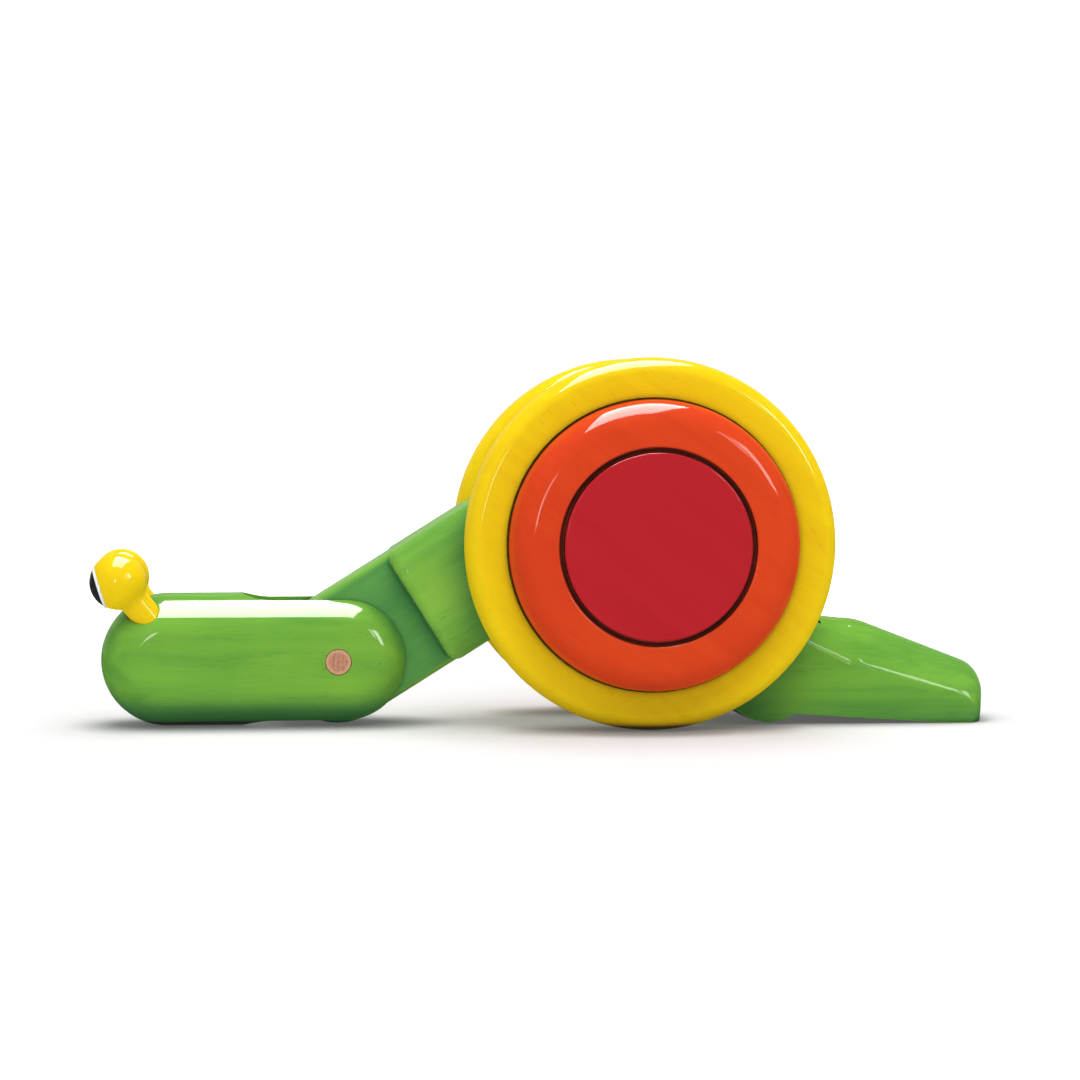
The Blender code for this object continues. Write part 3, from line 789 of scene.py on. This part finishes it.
def make_wheel(name, side):
    """One side of the shell: the wheel, the ring on it, and the cap in the ring."""
    turn = along(ACROSS * side)
    place = placed(WHEEL_CENTRE, turn)
    number = 5 if side < 0 else 8

    middle = (WHEEL_INNER + WHEEL_OUTER) / 2
    flat = WHEEL_RADIUS - WHEEL_CROWN
    floor = WHEEL_OUTER - RING_SEAT_DEPTH
    profile = [(0, WHEEL_INNER), (flat - FLAT_STEP, WHEEL_INNER)]
    profile += crown((flat, middle), WHEEL_CROWN, WHEEL_OUTER - middle, -90, 64)
    profile += [(flat - FLAT_STEP, WHEEL_OUTER), (RING_SEAT_OUTER + RING_SEAT_EDGE.x, WHEEL_OUTER)]
    profile += [(RING_SEAT_OUTER, WHEEL_OUTER - RING_SEAT_EDGE.y), (RING_SEAT_OUTER, floor)]
    profile += [(RING_SEAT_INNER, floor), (RING_SEAT_INNER, WHEEL_OUTER), (0, WHEEL_OUTER)]
    yellow = lacquered_wood(f"yellow_lacquer_{name}", YELLOW, number, WHEEL_GRAIN, 0.5, 1.0, **TURNED)
    wheel = add_piece(f"wheel_{name}", lathe(profile, 256), place, yellow, "shell")
    socket = rod(CRANK_RADIUS + FINE_GAP, WHEEL_INNER - 2 * MM, CRANK_HALF + GAP)
    carve(wheel, [(socket, placed(CRANK, turn))])
    finish_edges(wheel)

    back = WHEEL_OUTER + SEAT
    middle = back + RING_BACK_EDGE
    flat = RING_RADIUS - RING_CROWN
    lip = RECESS_RADIUS + RING_LIP
    groove = RING_OUTER - GROOVE_DEPTH
    fit = CAP_RADIUS + FINE_GAP
    profile = [(0, back)] + arc((RING_RADIUS - RING_BACK_EDGE, middle), RING_BACK_EDGE, -90, 0, 8)[:-1]
    profile += crown((flat, middle), RING_CROWN, RING_OUTER - middle, 0, 40)
    profile += [(flat - FLAT_STEP, RING_OUTER), (lip + FLAT_STEP / 2, RING_OUTER)]
    profile += arc((lip, RING_OUTER - RING_LIP), RING_LIP, 90, 180, 5)
    profile += [(RECESS_RADIUS, groove), (fit, groove), (fit, CAP_INNER - GAP), (0, CAP_INNER - GAP)]
    orange = lacquered_wood(f"orange_lacquer_{name}", ORANGE, number + 1, WHEEL_GRAIN, 0.6, 0.5,
                            **TURNED)
    finish_edges(add_piece(f"wheel_ring_{name}", lathe(profile, 256), place, orange, "shell"))

    middle = CAP_RADIUS - CAP_EDGE
    profile = [(0, CAP_INNER), (CAP_RADIUS, CAP_INNER)]
    profile += arc((middle, CAP_OUTER - CAP_EDGE), CAP_EDGE, 0, 90, 8)
    profile += [(middle - FLAT_STEP / 2, CAP_OUTER), (0, CAP_OUTER)]
    red = lacquered_wood(f"red_lacquer_{name}", RED, number + 2, WHEEL_GRAIN, 0.5, 0.4, **TURNED)
    finish_edges(add_piece(f"wheel_cap_{name}", lathe(profile, 256), place, red, "shell"))


def make_toy():
    make_neck()
    make_head()
    make_rear_leg()
    make_tail()
    make_dowels()
    eye_yellow = lacquered_wood("yellow_lacquer_eyes", YELLOW, 12, math.radians(60), 0.5, 0.4, **TURNED)
    white = gloss_paint("eye_white_gloss", (0.86, 0.86, 0.84), (0.80, 0.80, 0.79), 0.25)
    black = gloss_paint("eye_black_gloss", (0.012, 0.012, 0.016), (0.020, 0.019, 0.024), 0.15)
    for name, side in SIDES.items():
        make_eye(name, side, eye_yellow, white, black)
        make_wheel(name, side)


# ---------------------------------------------------------------- studio

FLOOR_HALF = 4
FLOOR_FRONT = -0.46
FLOOR_GLOW = (0.25, 1)              # near the toy, and in the background
FLOOR_FADE = (0.16, 0.55)           # the distances between which the glow grows
# the reach and strength of the floor's painted contact shadow
CONTACT_SHADOW_REACH = 16 * MM
CONTACT_SHADOW_DIM = 0.15
FILL = 0.58
REFLECTED_FILL = 0.06
BACKDROP = 1.05
MIDDLE = (0.02, 0, 0.05)

# name, place, target, size and radiance
# the softboxes light the toy, and the glows only shine in its lacquer
SOFTBOXES = (
    ("top_softbox", (0.05, 0.19, 0.80), (0.05, 0.19, 0), (0.60, 0.95), 3.1),
    ("front_softbox", (0.12, -0.82, 1.05), MIDDLE, (0.75, 0.50), 4.3),
    ("left_softbox", (-0.9, -1.0, 0.7), MIDDLE, (0.6, 0.6), 1.5),
)
GLOWS = (
    ("top_glow", (-0.03, 0.075, 0.79), (-0.03, 0.075, 0), (0.50, 0.88), 32),
    ("left_glow", (-0.32, -1.40, 0.19), MIDDLE, (0.15, 0.26), 15),
    ("right_glow", (0.83, -0.78, 0.55), MIDDLE, (0.28, 0.46), 20),
    ("side_glow", (0.60, -0.94, 0.59), MIDDLE, (0.06, 0.30), 22),
    ("back_glow", (0, 1.8, 0.62), (0, 0, 0.62), (3.2, 1.3), 0.35),
)
TOP_GLOW_TURN = math.radians(-14)


def make_floor():
    """White paper that glows as painted light: dimly near the toy, which lifts its shadows, and fully
    into the background a little way off; near the toy it is painted darker with contact shadows.
    """
    bm = bmesh.new()
    place = Matrix.Translation((0, FLOOR_HALF + FLOOR_FRONT, 0))
    bmesh.ops.create_grid(bm, x_segments=8, y_segments=8, size=FLOOR_HALF, matrix=place)
    floor = add_object("studio_floor", bm, Matrix.Identity(4))
    floor.visible_glossy = False
    g = Graph("floor_paper")
    fibre = g.noise((900, 900, 900), detail=2)
    tint = g.mix(g.ramp(fibre, 0.3, 0.7), (0.55, 0.55, 0.555), (0.53, 0.53, 0.535))
    # painted contact shadow: near the toy the paper is painted darker and glows less
    contact_shadow = g.ramp(g.openness(CONTACT_SHADOW_REACH), 0.97, 0.45)
    tint = g.mix(g.math("MULTIPLY", contact_shadow, 0.6), tint, (0.10, 0.10, 0.105))
    distance = g.node("VectorMath", operation="LENGTH")
    g.link(g.place, distance.inputs[0])
    # painted light: the paper glows, dimly near the toy to lift its shadows and fully further off
    glow_strength = g.ramp(distance.outputs["Value"], *FLOOR_FADE, *FLOOR_GLOW)
    glow_strength = g.math("SUBTRACT", glow_strength, g.math("MULTIPLY", contact_shadow, CONTACT_SHADOW_DIM))
    g.link(glow_strength, g.shader.inputs["Emission Strength"])
    g.shader.inputs["Emission Color"].default_value = (1, 1, 1, 1)
    g.shader.inputs["Specular IOR Level"].default_value = 0.1
    floor.data.materials.append(g.finish(tint, 0.9))


def add_light(name, location, target, size, radiance, diffuse, glossy):
    """A rectangular light that faces a point, as bright as a white screen of that radiance."""
    light = bpy.data.lights.new(name, "AREA")
    light.shape = "RECTANGLE"
    light.size = size[0]
    light.size_y = size[1]
    light.energy = radiance * math.pi * size[0] * size[1]
    item = bpy.data.objects.new(name, light)
    item.location = location
    item.rotation_euler = (Vector(target) - Vector(location)).to_track_quat("-Z", "Y").to_euler()
    item.visible_camera = False
    item.visible_diffuse = diffuse
    item.visible_glossy = glossy
    bpy.context.scene.collection.objects.link(item)
    return item


def make_lights():
    for light in SOFTBOXES:
        add_light(*light, diffuse=True, glossy=False)
    glows = [add_light(*light, diffuse=False, glossy=True) for light in GLOWS]
    glows[0].rotation_euler.rotate_axis("Z", TOP_GLOW_TURN)


def make_world():
    """An even fill that looks white to the camera and stays dim in reflections."""
    world = bpy.data.worlds.new("studio")
    bpy.context.scene.world = world
    world.use_nodes = True
    nodes = world.node_tree.nodes
    links = world.node_tree.links
    path = nodes.new("ShaderNodeLightPath")
    shade = nodes.new("ShaderNodeMapRange")
    shade.inputs["To Min"].default_value = FILL
    shade.inputs["To Max"].default_value = BACKDROP
    links.new(path.outputs["Is Camera Ray"], shade.inputs["Value"])
    dim = nodes.new("ShaderNodeMapRange")
    dim.inputs["To Max"].default_value = REFLECTED_FILL
    links.new(path.outputs["Is Glossy Ray"], dim.inputs["Value"])
    links.new(shade.outputs["Result"], dim.inputs["To Min"])
    background = nodes["Background"]
    background.inputs["Color"].default_value = (1, 1, 1, 1)
    links.new(dim.outputs["Result"], background.inputs["Strength"])


def make_camera():
    """Level with the toy and a little to the left of its middle, as a long lens across a table."""
    camera = bpy.data.cameras.new("camera")
    camera.lens = 104
    camera.sensor_width = 36
    camera.clip_end = 30
    item = bpy.data.objects.new("camera", camera)
    item.location = (-0.078, -0.854, 0.092)
    target = Vector((0.0, 0.0, 0.050))
    item.rotation_euler = (target - item.location).to_track_quat("-Z", "Y").to_euler()
    bpy.context.scene.collection.objects.link(item)
    bpy.context.scene.camera = item


bpy.context.scene.view_settings.view_transform = "Standard"
make_toy()
make_floor()
make_lights()
make_world()
make_camera()
